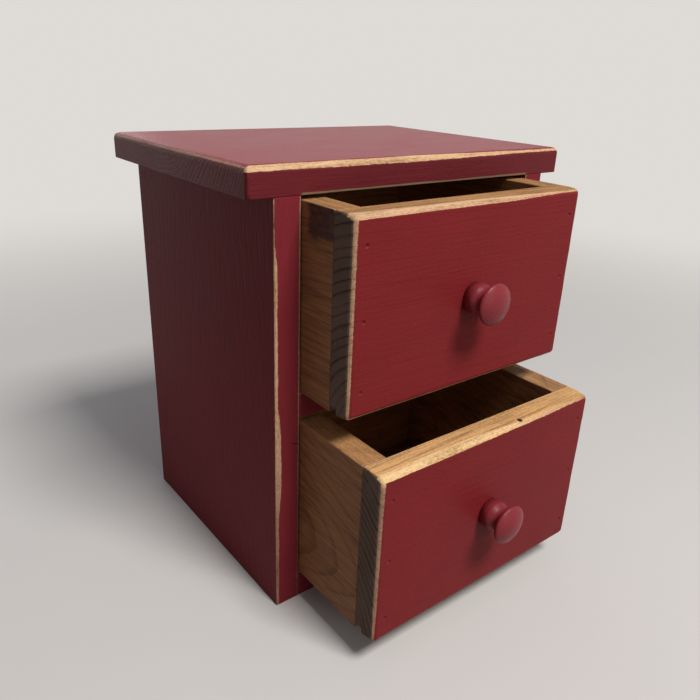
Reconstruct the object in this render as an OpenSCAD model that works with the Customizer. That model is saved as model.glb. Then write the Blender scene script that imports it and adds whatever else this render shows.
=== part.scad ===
// A tabletop chest of nailed pine boards with two drawers, both standing part open.
// Sizes are in millimetres. +Z is up, the drawers open towards -Y, and the origin
// is the centre of the case's underside.

/* [Case] */
// Width of the case across its two sides
case_w = 246; // [200:1:320]
// Depth of the case from the front edges of its sides to its back
case_d = 206; // [160:1:280]
// Clear height of each of the two drawer bays
bay_h = 131; // [90:1:180]
// Thickness of the two side boards
side_t = 19; // [15:0.5:25]
// Thickness of the top board
top_t = 19; // [12:0.5:28]
// Thickness of the board between the two bays
divider_t = 19; // [12:0.5:25]
// Thickness of the bottom board
base_t = 22; // [15:0.5:30]
// How far the top reaches past each side
top_overhang = 18; // [2:0.5:30]
// Radius of the top board's upper edges
top_round = 4.5; // [1:0.5:6]
// Thickness of the back panel
back_t = 6; // [4:0.5:10]
// How far the back panel reaches into the rebate of each side
back_seat = 9; // [6:0.5:12]
// Gap left around the back panel in its rebates
back_fit = 0.4; // [0.2:0.1:1]

/* [Drawers] */
// How far the upper drawer stands out of the case
upper_open = 51; // [0:1:90]
// How far the lower drawer stands out of the case
lower_open = 87; // [0:1:90]
// Gap between a drawer and the case at each side
side_gap = 1; // [0.5:0.1:3]
// Running gap under a drawer
slide_gap = 0.3; // [0.2:0.1:1]
// Gap above a drawer
head_gap = 2.7; // [1:0.1:6]
// Gap between a closed drawer and the back panel
rear_gap = 8; // [2:1:30]
// Thickness of a drawer's front board
front_t = 19; // [16:0.5:25]
// Radius of the front board's outer edges
front_round = 3.5; // [1:0.5:5]
// Thickness of a drawer's side boards
box_side_t = 19; // [15:0.5:22]
// Thickness of a drawer's back board
box_back_t = 19; // [12:0.5:22]
// Thickness of a drawer's bottom panel
panel_t = 5; // [3:0.5:9]
// Width of the rebate that holds the bottom panel
panel_seat = 7; // [5:0.5:10]
// Gap left around the bottom panel in its rebates
panel_fit = 0.4; // [0.2:0.1:1]

/* [Knobs] */
// Diameter of a knob's cap
knob_d = 28.6; // [22:0.2:38]
// Length of a knob from the drawer front to its crown
knob_len = 24.5; // [22:0.5:30]
// Distance from the drawer front to the widest part of the cap
rim_out = 18.8; // [17:0.2:20]
// Radius of the cap's rounded rim
rim_round = 1.9; // [1:0.1:2]
// Diameter of a knob's neck
neck_d = 17.2; // [14:0.2:18]
// Radius of the hollow curve between the neck and the cap
cove_round = 4.5; // [4.5:0.1:5]
// Diameter of the swelling behind the neck
belly_d = 22; // [20:0.2:24]
// Radius of the swelling's curve
belly_round = 5; // [4:0.1:6]
// Diameter of a knob's foot on the drawer front
foot_d = 20.6; // [16:0.2:22]

/* [Screws] */
// Diameter of a knob screw's shank
screw_d = 4.2; // [3.5:0.1:5]
// Length of a knob screw under its head
screw_len = 32; // [28:1:36]
// Diameter of a knob screw's head
screw_head_d = 8.2; // [7:0.2:10]
// Height of a knob screw's domed head
screw_head_h = 2.6; // [2:0.1:4]
// Width of the slots in a screw's head
screw_slot_w = 1.1; // [0.8:0.1:1.5]
// Depth of the slots in a screw's head
screw_slot_deep = 1.2; // [0.8:0.1:1.5]
// Gap around a knob screw where it passes through the drawer front
screw_clear = 0.25; // [0.1:0.05:0.5]
// Space left past a knob screw's point
screw_end_gap = 1; // [0.5:0.1:2]

/* [Nails] */
// Diameter of the case nails
nail_d = 1.8; // [1.4:0.1:2.4]
// Length of the case nails
nail_len = 40; // [34:1:48]
// Diameter of the brads in the drawers
brad_d = 1.4; // [1:0.1:1.8]
// Length of the brads that join drawer boards
brad_len = 36; // [32:1:44]
// Length of the short brads that hold the thin panels
pin_len = 16; // [13:1:20]
// How much wider than its shank a nail's head is
head_extra = 1; // [0.6:0.1:1.4]
// Height of a nail's head
head_h = 1; // [0.6:0.1:1.4]
// Depth to which the nail heads in the painted case are sunk and filled over
set_deep = 1.6; // [1:0.1:2.5]
// Depth to which the brad heads in the drawers are sunk below the surface
punch_deep = 1.1; // [0.4:0.1:1.6]
// Gap around every nail
nail_fit = 0.04; // [0.02:0.01:0.1]
// Number of nails in a row along a board joint
nails_per_joint = 3; // [2:1:5]
// Distance from a case board's edge to its nearest nail
case_nail_inset = 24; // [18:1:40]
// Distance from a drawer board's edge to its nearest brad
brad_inset = 18; // [14:1:30]

/* [Hidden] */

$fn = 48;
arc_steps = 10;
// How far a cut runs on past the face that it opens
cut_past = 1;

// Colours follow the paint: the case and the drawer fronts are painted, the boxes bare
painted = [0.40, 0.15, 0.17];
bare_pine = [0.62, 0.44, 0.29];
plywood = [0.66, 0.50, 0.34];
steel = [0.62, 0.62, 0.62];

// Levels and faces of the case
divider_z = base_t + bay_h;
upper_bay_z = divider_z + divider_t;
side_h = upper_bay_z + bay_h;
inner_w = case_w - 2 * side_t;
front_y = -case_d / 2;
rear_y = case_d / 2;
shelf_d = case_d - back_t;

// Sizes of a drawer, whose own corner is at its front board's lower front edge
drawer_w = inner_w - 2 * side_gap;
drawer_h = bay_h - slide_gap - head_gap;
drawer_len = shelf_d - rear_gap;
box_inner_w = drawer_w - 2 * box_side_t;
panel_len = drawer_len - front_t + panel_seat - panel_fit;
knob_z = drawer_h / 2;

// Evenly spaced values, count of them, from first to last
function row(first, last, count) =
    [for (i = [0 : count - 1]) first + (last - first) * i / (count - 1)];

// Points on an arc round a centre, from one angle to another
function arc(centre, radius, from, to) =
    [for (i = [0 : arc_steps])
        let (a = from + (to - from) * i / arc_steps)
        centre + radius * [cos(a), sin(a)]];

// A rectangle standing on Y = 0 with its two upper corners rounded
module eased_profile(w, h, r) {
    translate([-w / 2, 0])
        square([w, h - r]);
    translate([-w / 2 + r, 0])
        square([w - 2 * r, h]);
    for (side = [-1, 1])
        translate([side * (w / 2 - r), h - r])
            circle(r);
}

// A w by d board lying on Z = 0, rounded along all four edges of its upper face
module eased_board(w, d, h, r) {
    intersection() {
        rotate([90, 0, 0])
            linear_extrude(d, center = true)
                eased_profile(w, h, r);
        rotate([90, 0, 90])
            linear_extrude(w, center = true)
                eased_profile(d, h, r);
    }
}

// A nail along +Z whose head's outer face is at Z = 0; the shank points to -Z
module nail(d, len) {
    translate([0, 0, -head_h])
        cylinder(d = d + head_extra, h = head_h);
    translate([0, 0, -len])
        cylinder(d = d, h = len - head_h / 2);
}

// The hole that a nail leaves; open_by is how far the hole runs on past the head
module nail_hole(d, len, open_by = 0) {
    translate([0, 0, -head_h - nail_fit])
        cylinder(d = d + head_extra + 2 * nail_fit, h = head_h + 2 * nail_fit + open_by);
    translate([0, 0, -len - nail_fit])
        cylinder(d = d + 2 * nail_fit, h = len);
}

// Places of the case nails, each with its head's face at Z = 0 of its own frame
module at_top_nails() {
    for (side = [-1, 1],
         y = row(front_y + case_nail_inset, rear_y - case_nail_inset, nails_per_joint))
        translate([side * (case_w - side_t) / 2, y, side_h + top_t - set_deep])
            children();
}

module at_side_nails(side) {
    for (z = [base_t / 2, divider_z + divider_t / 2],
         y = row(front_y + case_nail_inset, rear_y - back_t - case_nail_inset, nails_per_joint))
        translate([side * (case_w / 2 - set_deep), y, z])
            rotate([0, side * 90, 0])
                children();
}

module at_back_brads() {
    shelf_x = inner_w / 2 - case_nail_inset;
    for (z = [base_t / 2, divider_z + divider_t / 2],
         x = row(-shelf_x, shelf_x, nails_per_joint))
        translate([x, rear_y, z])
            rotate([-90, 0, 0])
                children();
    for (side = [-1, 1],
         z = row(base_t + case_nail_inset, side_h - case_nail_inset, nails_per_joint))
        translate([side * (inner_w + back_seat) / 2, rear_y, z])
            rotate([-90, 0, 0])
                children();
}

// Side board of the case, with a rebate for the back panel; side is -1 left, 1 right
module case_side(side) {
    difference() {
        translate([side > 0 ? case_w / 2 - side_t : -case_w / 2, front_y, 0])
            cube([side_t, case_d, side_h]);
        translate([side * inner_w / 2 - (side > 0 ? cut_past : back_seat),
                   rear_y - back_t, -cut_past])
            cube([back_seat + cut_past, back_t + cut_past, side_h + 2 * cut_past]);
        at_top_nails()
            nail_hole(nail_d, nail_len);
        at_side_nails(side)
            nail_hole(nail_d, nail_len);
        at_back_brads()
            nail_hole(brad_d, pin_len);
    }
}

module case_side_left() {
    color(painted)
        case_side(-1);
}

module case_side_right() {
    color(painted)
        case_side(1);
}

module case_top() {
    color(painted)
        difference() {
            translate([0, 0, side_h])
                eased_board(case_w + 2 * top_overhang, case_d, top_t, top_round);
            at_top_nails()
                nail_hole(nail_d, nail_len);
        }
}

// Board across the case between its sides, z_low to z_low + t
module shelf_board(z_low, t) {
    difference() {
        translate([-inner_w / 2, front_y, z_low])
            cube([inner_w, shelf_d, t]);
        for (side = [-1, 1])
            at_side_nails(side)
                nail_hole(nail_d, nail_len);
        at_back_brads()
            nail_hole(brad_d, pin_len);
    }
}

module case_bottom() {
    color(painted)
        shelf_board(0, base_t);
}

module case_divider() {
    color(painted)
        shelf_board(divider_z, divider_t);
}

module case_back() {
    panel_w = inner_w + 2 * (back_seat - back_fit);
    color(painted)
        difference() {
            translate([-panel_w / 2, rear_y - back_t, 0])
                cube([panel_w, back_t, side_h - back_fit]);
            at_back_brads()
                nail_hole(brad_d, pin_len, cut_past);
        }
}

module case_top_nails() {
    color(steel)
        at_top_nails()
            nail(nail_d, nail_len);
}

module case_side_nails() {
    color(steel)
        for (side = [-1, 1])
            at_side_nails(side)
                nail(nail_d, nail_len);
}

module case_back_brads() {
    color(steel)
        at_back_brads()
            nail(brad_d, pin_len);
}

// Moves a drawer's own corner to its place: bay_z is its bay's floor
module in_bay(bay_z, open_by) {
    translate([0, front_y - open_by, bay_z + slide_gap])
        children();
}

// Places of a drawer's brads, each with its head's face at Z = 0 of its own frame
module at_front_brads() {
    for (side = [-1, 1], z = row(brad_inset, drawer_h - brad_inset, nails_per_joint))
        translate([side * (drawer_w - box_side_t) / 2, punch_deep, z])
            rotate([90, 0, 0])
                children();
}

module at_rear_brads() {
    for (side = [-1, 1],
         z = row(panel_t + brad_inset, drawer_h - brad_inset, nails_per_joint))
        translate([side * (drawer_w / 2 - punch_deep), drawer_len - box_back_t / 2, z])
            rotate([0, side * 90, 0])
                children();
}

module at_panel_brads() {
    edge_x = box_inner_w / 2 + panel_seat / 2;
    back_x = box_inner_w / 2 - brad_inset;
    for (side = [-1, 1],
         y = row(front_t + brad_inset, drawer_len - box_back_t - brad_inset, nails_per_joint))
        translate([side * edge_x, y, 0])
            rotate([180, 0, 0])
                children();
    for (x = row(-back_x, back_x, nails_per_joint))
        translate([x, drawer_len - box_back_t / 2, 0])
            rotate([180, 0, 0])
                children();
}

// Front board of a drawer: rounded outer edges, a rebate along its lower rear edge
// that runs out through both ends, and holes for the brads and the knob screw
module drawer_front() {
    difference() {
        translate([0, front_t, drawer_h / 2])
            rotate([90, 0, 0])
                eased_board(drawer_w, drawer_h, front_t, front_round);
        translate([-drawer_w / 2 - cut_past, front_t - panel_seat, -cut_past])
            cube([drawer_w + 2 * cut_past, panel_seat + cut_past, panel_t + cut_past]);
        at_front_brads()
            nail_hole(brad_d, brad_len, punch_deep + cut_past);
        translate([0, -cut_past, knob_z])
            rotate([-90, 0, 0])
                cylinder(d = screw_d + 2 * screw_clear, h = front_t + 2 * cut_past);
    }
}

// Side board of a drawer, with a rebate along its lower inner edge for the bottom panel
module drawer_side(side) {
    seat_x = side > 0 ? box_inner_w / 2 - cut_past : -box_inner_w / 2 - panel_seat;
    difference() {
        translate([side > 0 ? box_inner_w / 2 : -drawer_w / 2, front_t, 0])
            cube([box_side_t, drawer_len - front_t, drawer_h]);
        translate([seat_x, front_t - cut_past, -cut_past])
            cube([panel_seat + cut_past, drawer_len, panel_t + cut_past]);
        at_front_brads()
            nail_hole(brad_d, brad_len);
        at_rear_brads()
            nail_hole(brad_d, brad_len, punch_deep + cut_past);
        at_panel_brads()
            nail_hole(brad_d, pin_len);
    }
}

module drawer_back() {
    difference() {
        translate([-box_inner_w / 2, drawer_len - box_back_t, panel_t])
            cube([box_inner_w, box_back_t, drawer_h - panel_t]);
        at_rear_brads()
            nail_hole(brad_d, brad_len);
        at_panel_brads()
            nail_hole(brad_d, pin_len);
    }
}

module drawer_bottom() {
    panel_w = box_inner_w + 2 * (panel_seat - panel_fit);
    difference() {
        translate([-panel_w / 2, drawer_len - panel_len, 0])
            cube([panel_w, panel_len, panel_t]);
        at_panel_brads()
            nail_hole(brad_d, pin_len, cut_past);
    }
}

// Outline of a knob from its foot to its crown: a straight foot, a swelling, a neck,
// the cap's rim and its dome, each arc meeting the next at a common tangent
function knob_outline() =
    let (rim_c = [knob_d / 2 - rim_round, rim_out],
         cove_x = neck_d / 2 + cove_round,
         cove_drop = sqrt(pow(cove_round + rim_round, 2) - pow(cove_x - rim_c.x, 2)),
         cove_c = [cove_x, rim_out - cove_drop],
         belly_x = belly_d / 2 - belly_round,
         belly_drop = sqrt(pow(cove_round + belly_round, 2) - pow(cove_x - belly_x, 2)),
         belly_c = [belly_x, cove_c.y - belly_drop],
         dome_h = knob_len - rim_out,
         dome_r = (pow(rim_c.x, 2) + pow(dome_h, 2) - pow(rim_round, 2))
             / (2 * (dome_h - rim_round)),
         dome_c = [0, knob_len - dome_r],
         belly_end = atan2(cove_c.y - belly_c.y, cove_c.x - belly_c.x),
         cove_end = atan2(rim_c.y - cove_c.y, rim_c.x - cove_c.x),
         rim_end = atan2(rim_c.y - dome_c.y, rim_c.x - dome_c.x))
    concat([[0, 0], [foot_d / 2, 0]],
           arc(belly_c, belly_round, 0, belly_end),
           arc(cove_c, cove_round, 180 + belly_end, cove_end),
           arc(rim_c, rim_round, cove_end - 180, rim_end),
           arc(dome_c, dome_r, rim_end, 90));

// A turned knob on the drawer front, bored from behind for its screw
module drawer_knob() {
    hole_deep = screw_len - front_t + screw_end_gap;
    translate([0, 0, knob_z])
        rotate([90, 0, 0])
            difference() {
                rotate_extrude()
                    polygon(knob_outline());
                translate([0, 0, -cut_past])
                    cylinder(d = screw_d + 2 * nail_fit, h = hole_deep + cut_past);
            }
}

// The knob's screw, driven from inside the drawer: a domed head with a crossed slot
module drawer_knob_screw() {
    dome_r = (pow(screw_head_d / 2, 2) + pow(screw_head_h, 2)) / (2 * screw_head_h);
    point_len = screw_d;
    translate([0, front_t, knob_z])
        rotate([-90, 0, 0]) {
            translate([0, 0, point_len - screw_len])
                cylinder(d = screw_d, h = screw_len - point_len + screw_head_h / 4);
            translate([0, 0, -screw_len])
                cylinder(d1 = screw_d / 4, d2 = screw_d, h = point_len);
            difference() {
                intersection() {
                    cylinder(d = screw_head_d, h = screw_head_h);
                    translate([0, 0, screw_head_h - dome_r])
                        sphere(dome_r);
                }
                for (turn = [0, 90])
                    rotate([0, 0, turn])
                        translate([-screw_head_d / 4, -screw_slot_w / 2,
                                   screw_head_h - screw_slot_deep])
                            cube([screw_head_d / 2, screw_slot_w, screw_slot_deep + cut_past]);
            }
        }
}

module drawer_front_brads() {
    at_front_brads()
        nail(brad_d, brad_len);
}

module drawer_back_brads() {
    at_rear_brads()
        nail(brad_d, brad_len);
}

module drawer_bottom_brads() {
    at_panel_brads()
        nail(brad_d, pin_len);
}

module upper() {
    in_bay(upper_bay_z, upper_open)
        children();
}

module lower() {
    in_bay(base_t, lower_open)
        children();
}

module upper_front() {
    color(painted)
        upper()
            drawer_front();
}

module upper_side_left() {
    color(bare_pine)
        upper()
            drawer_side(-1);
}

module upper_side_right() {
    color(bare_pine)
        upper()
            drawer_side(1);
}

module upper_back() {
    color(bare_pine)
        upper()
            drawer_back();
}

module upper_bottom() {
    color(plywood)
        upper()
            drawer_bottom();
}

module upper_knob() {
    color(painted)
        upper()
            drawer_knob();
}

module upper_knob_screw() {
    color(steel)
        upper()
            drawer_knob_screw();
}

module upper_front_brads() {
    color(steel)
        upper()
            drawer_front_brads();
}

module upper_back_brads() {
    color(steel)
        upper()
            drawer_back_brads();
}

module upper_bottom_brads() {
    color(steel)
        upper()
            drawer_bottom_brads();
}

module lower_front() {
    color(painted)
        lower()
            drawer_front();
}

module lower_side_left() {
    color(bare_pine)
        lower()
            drawer_side(-1);
}

module lower_side_right() {
    color(bare_pine)
        lower()
            drawer_side(1);
}

module lower_back() {
    color(bare_pine)
        lower()
            drawer_back();
}

module lower_bottom() {
    color(plywood)
        lower()
            drawer_bottom();
}

module lower_knob() {
    color(painted)
        lower()
            drawer_knob();
}

module lower_knob_screw() {
    color(steel)
        lower()
            drawer_knob_screw();
}

module lower_front_brads() {
    color(steel)
        lower()
            drawer_front_brads();
}

module lower_back_brads() {
    color(steel)
        lower()
            drawer_back_brads();
}

module lower_bottom_brads() {
    color(steel)
        lower()
            drawer_bottom_brads();
}

case_side_left();
case_side_right();
case_top();
case_bottom();
case_divider();
case_back();
case_top_nails();
case_side_nails();
case_back_brads();
upper_front();
upper_side_left();
upper_side_right();
upper_back();
upper_bottom();
upper_knob();
upper_knob_screw();
upper_front_brads();
upper_back_brads();
upper_bottom_brads();
lower_front();
lower_side_left();
lower_side_right();
lower_back();
lower_bottom();
lower_knob();
lower_knob_screw();
lower_front_brads();
lower_back_brads();
lower_bottom_brads();
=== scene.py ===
"""Looks of a two-drawer tabletop chest: nailed pine boards under dark red paint that is
rubbed through along the edges, bare stained drawer boxes and one turned knob per drawer.

Lengths are in metres in the frame of the solids; the board maths in the materials works
in millimetres. Every board is cut to the box of the solid that it stands for.
"""

import math

import bmesh
import bpy
from mathutils import Matrix, Vector, noise


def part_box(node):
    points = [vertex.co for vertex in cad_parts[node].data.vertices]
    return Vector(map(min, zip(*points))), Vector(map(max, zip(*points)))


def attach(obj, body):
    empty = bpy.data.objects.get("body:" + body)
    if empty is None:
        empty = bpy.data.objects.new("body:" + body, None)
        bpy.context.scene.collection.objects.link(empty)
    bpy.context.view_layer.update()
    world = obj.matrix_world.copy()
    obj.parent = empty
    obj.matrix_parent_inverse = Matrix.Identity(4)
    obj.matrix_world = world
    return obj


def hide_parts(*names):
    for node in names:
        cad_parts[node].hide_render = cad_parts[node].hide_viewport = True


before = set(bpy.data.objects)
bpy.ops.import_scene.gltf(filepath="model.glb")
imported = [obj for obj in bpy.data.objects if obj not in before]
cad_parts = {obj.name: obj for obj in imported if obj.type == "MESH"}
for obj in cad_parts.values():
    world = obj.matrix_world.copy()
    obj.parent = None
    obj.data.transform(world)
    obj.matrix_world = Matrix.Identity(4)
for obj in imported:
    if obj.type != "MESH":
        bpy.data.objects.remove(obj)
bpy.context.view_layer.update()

bl_info = {
    "name": "Two-drawer tabletop chest",
    "version": (1, 0, 0),
    "blender": (4, 5, 0),
    "location": "3D Viewport > Sidebar > Chest",
    "description": "Dresses the solids of a painted pine chest with two drawers",
    "category": "Object",
}

MM = 0.001
X, Y, Z = 0, 1, 2
DRAWERS = ("upper", "lower")
SIDES = (("left", -1), ("right", 1))
# The six faces of a board, each as the axis that it lies across and its side on it
LEFT, RIGHT, FRONT, REAR, UNDER, UPPER = (
    (axis, sign) for axis in (X, Y, Z) for sign in (-1, 1)
)
# Segments of the two wide roundings, on the top and on the drawer fronts
ROUND_STEPS = 6


def linear(red, green, blue):
    """A colour given as 11 to 255 on screen, as Blender's linear values"""
    return tuple(((value / 255 + 0.055) / 1.055) ** 2.4 for value in (red, green, blue))


def tinted(colour, tint):
    """A colour with each of its three parts made weaker or stronger"""
    return tuple(part * share for part, share in zip(colour, tint))


def dimmed(colour, share):
    return tinted(colour, (share, share, share))


def colour_prop(name, description, default):
    return bpy.props.FloatVectorProperty(
        name=name, description=description, subtype="COLOR", size=3, min=0, max=1,
        default=default,
    )


def length_prop(name, description, millimetres):
    return bpy.props.FloatProperty(
        name=name, description=description, unit="LENGTH", min=0,
        default=millimetres * MM, precision=4,
    )


class ChestFinish(bpy.types.PropertyGroup):
    """Colours of the paint, the wood and the fastenings, and how far the edges are rubbed"""

    paint: colour_prop("Paint", "Dark red paint of the drawers", linear(122, 36, 38))
    # The case paint is a little more purple partly as a painted cool sheen
    case_paint: colour_prop("Case paint", "Paint of the case, a little more purple",
                            linear(123, 41, 47))
    rubbed: colour_prop("Rubbed edge", "Bare wood where the paint is sanded off",
                        linear(216, 176, 136))
    stained: colour_prop("Stained wood", "Long grain of the drawer boxes under stain",
                         linear(160, 108, 68))
    stain_dark: colour_prop("Dark grain", "Latewood and streaks under stain",
                            linear(66, 40, 26))
    end_grain: colour_prop("End grain", "Board ends, which drink the most stain",
                           linear(120, 97, 84))
    ply: colour_prop("Plywood", "Bottom panels of the drawers", linear(178, 142, 100))
    steel: colour_prop("Steel", "Nails, brads and screws", linear(168, 166, 162))
    rub: bpy.props.FloatProperty(
        name="Rub", description="How wide the rubbed edges are, 1 as in the photo",
        min=0, max=2, default=1,
    )


class ChestSizes(bpy.types.PropertyGroup):
    """Roundings of the boards and the shape of the knobs"""

    top_round: length_prop("Top rounding", "Radius of the top board's upper edges", 4.5)
    front_round: length_prop("Front rounding", "Radius of a drawer front's outer edges", 3.5)
    eased: length_prop("Eased edge", "Radius of every other painted edge", 0.9)
    box_eased: length_prop("Box edge", "Radius of the edges of the drawer boxes", 0.5)
    rebate_deep: length_prop("Rebate depth", "Depth of a drawer front's lower rebate", 7)
    rebate_tall: length_prop("Rebate height", "Height of a drawer front's lower rebate", 5)
    back_seat: length_prop("Back seat", "Width of the sides' rebate for the back", 9)
    back_deep: length_prop("Back depth", "Depth of the sides' rebate for the back", 6)
    corner: length_prop("Top corner", "Radius of the top board's upright corners", 2.25)
    front_corner: length_prop("Front corner", "Radius of a drawer front's outer corners", 4.4)
    dimple: length_prop("Dimple", "Radius of the dent over a brad", 1.65)
    knob: length_prop("Knob", "Diameter of a knob's cap", 28.6)
    knob_long: length_prop("Knob length", "From the drawer front to the crown", 24.5)
    rim_out: length_prop("Rim", "From the drawer front to the widest part of the cap", 18.8)
    rim_round: length_prop("Rim rounding", "Radius of the cap's rim", 1.9)
    neck: length_prop("Neck", "Diameter of a knob's neck", 17.2)
    cove: length_prop("Cove", "Radius of the hollow between neck and cap", 4.5)
    belly: length_prop("Belly", "Diameter of the swelling behind the neck", 22)
    belly_round: length_prop("Belly rounding", "Radius of the swelling's curve", 5)
    foot: length_prop("Foot", "Diameter of a knob's foot on the drawer front", 20.6)


class ChestStage(bpy.types.PropertyGroup):
    """Floor, backdrop and camera"""

    floor: colour_prop("Floor", "Pale floor and backdrop", linear(208, 203, 197))
    sweep: length_prop("Sweep", "Radius of the round backdrop", 3000)
    lens: bpy.props.FloatProperty(
        name="Lens", description="Focal length on a 36 mm sensor", unit="CAMERA",
        min=10, max=200, default=34.863,
    )


def finish():
    return bpy.context.scene.chest_finish


def sizes():
    return bpy.context.scene.chest_sizes


def between(operation, turned=False):
    """A method that adds one Math node; turned puts the other number first"""
    def method(self, *others):
        return self.maths(operation, *((*others, self) if turned else (self, *others)))
    return method


class Value:
    """A shader number; arithmetic on it adds the Math nodes"""

    def __init__(self, recipe, socket):
        self.recipe = recipe
        self.socket = socket

    def maths(self, operation, *terms, clamp=False):
        settings = {"operation": operation, "use_clamp": clamp}
        return self.recipe.add("ShaderNodeMath", settings, dict(enumerate(terms)))

    __add__ = __radd__ = between("ADD")
    __sub__ = between("SUBTRACT")
    __rsub__ = between("SUBTRACT", turned=True)
    __mul__ = __rmul__ = between("MULTIPLY")
    __truediv__ = between("DIVIDE")
    __abs__ = between("ABSOLUTE")
    low = between("MINIMUM")
    high = between("MAXIMUM")
    fraction = between("FRACT")
    root = between("SQRT")

    def held(self):
        """The same number, held between 0 and 1"""
        return self.maths("ADD", self, 0, clamp=True)

    def step(self, start, end):
        """0 before start, 1 past end and smooth between; end may lie below start"""
        rising = start < end
        return self.recipe.add(
            "ShaderNodeMapRange", {"interpolation_type": "SMOOTHSTEP"},
            {"Value": self, "From Min": min(start, end), "From Max": max(start, end),
             "To Min": 0 if rising else 1, "To Max": 1 if rising else 0},
        )


class Recipe:
    """One material and the one method that adds any node to it"""

    def __init__(self, name, specular=0.5):
        self.material = bpy.data.materials.new(name)
        self.material.use_nodes = True
        self.tree = self.material.node_tree
        self.tree.nodes.clear()
        self.output = self.tree.nodes.new("ShaderNodeOutputMaterial")
        self.shader = self.tree.nodes.new("ShaderNodeBsdfPrincipled")
        self.set("Specular IOR Level", specular)
        self.tree.links.new(self.shader.outputs["BSDF"], self.output.inputs["Surface"])

    def add(self, kind, settings=None, sockets=None, out=0):
        node = self.tree.nodes.new(kind)
        for setting, value in (settings or {}).items():
            setattr(node, setting, value)
        for place, value in (sockets or {}).items():
            self.feed(node.inputs[place], value)
        return Value(self, node.outputs[out])

    def feed(self, socket, value):
        if isinstance(value, Value):
            self.tree.links.new(value.socket, socket)
        elif socket.type == "RGBA" and len(value) == 3:
            socket.default_value = (*value, 1)
        else:
            socket.default_value = value

    def set(self, place, value):
        self.feed(self.shader.inputs[place], value)

    def glow_mix(self, share, colour):
        """Lets the surface show an even colour of its own where share is 1"""
        glow = self.add("ShaderNodeEmission", {}, {"Color": colour, "Strength": 1.0})
        lit = Value(self, self.shader.outputs["BSDF"])
        both = self.add("ShaderNodeMixShader", {}, {0: share, 1: lit, 2: glow})
        self.tree.links.new(both.socket, self.output.inputs["Surface"])
        self.material.cycles.emission_sampling = "NONE"

    def mix(self, share, first, second):
        """Colour first where share is 0 and second where it is 1"""
        sockets = {0: share, 6: first, 7: second}
        return self.add("ShaderNodeMix", {"data_type": "RGBA"}, sockets, out=2)

    def vector(self, operation, sockets, out=0):
        return self.add("ShaderNodeVectorMath", {"operation": operation}, sockets, out)

    def scale_colour(self, colour, factor):
        """A colour made lighter or darker by a number that varies"""
        return self.vector("SCALE", {0: colour, "Scale": factor})

    def millimetres(self, middle=(0, 0, 0)):
        """Object coordinates in millimetres, counted from a middle"""
        coords = self.add("ShaderNodeTexCoord", out="Object")
        sockets = {"Vector": coords, "Location": -Vector(middle), "Scale": [1 / MM] * 3}
        return self.add("ShaderNodeMapping", {}, sockets)

    def split(self, vector):
        parts = self.add("ShaderNodeSeparateXYZ", {}, {0: vector})
        return [Value(self, socket) for socket in parts.socket.node.outputs]

    def join(self, parts):
        return self.add("ShaderNodeCombineXYZ", {}, dict(enumerate(parts)))

    def cloud(self, place, grain, seed, detail=2.0, rough=0.5):
        """Soft noise from -1 to 1 over grains of the given sizes, one per axis of place"""
        spread = self.add("ShaderNodeMapping", {}, {
            "Vector": place, "Location": (seed * 7.31, seed * -3.17, seed * 5.93),
            "Scale": [1 / size for size in grain],
        })
        sockets = {"Vector": spread, "Scale": 1.0, "Detail": detail, "Roughness": rough}
        return (self.add("ShaderNodeTexNoise", {}, sockets) - 0.5) * 3.2

    def surface(self, colour, rough, height, depth):
        """Colour, roughness and relief, which is as deep as is said where height is 1"""
        self.set("Base Color", colour)
        self.set("Roughness", rough.held())
        bump = {"Height": height, "Distance": depth, "Strength": 1.0}
        self.set("Normal", self.add("ShaderNodeBump", {}, bump))


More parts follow.
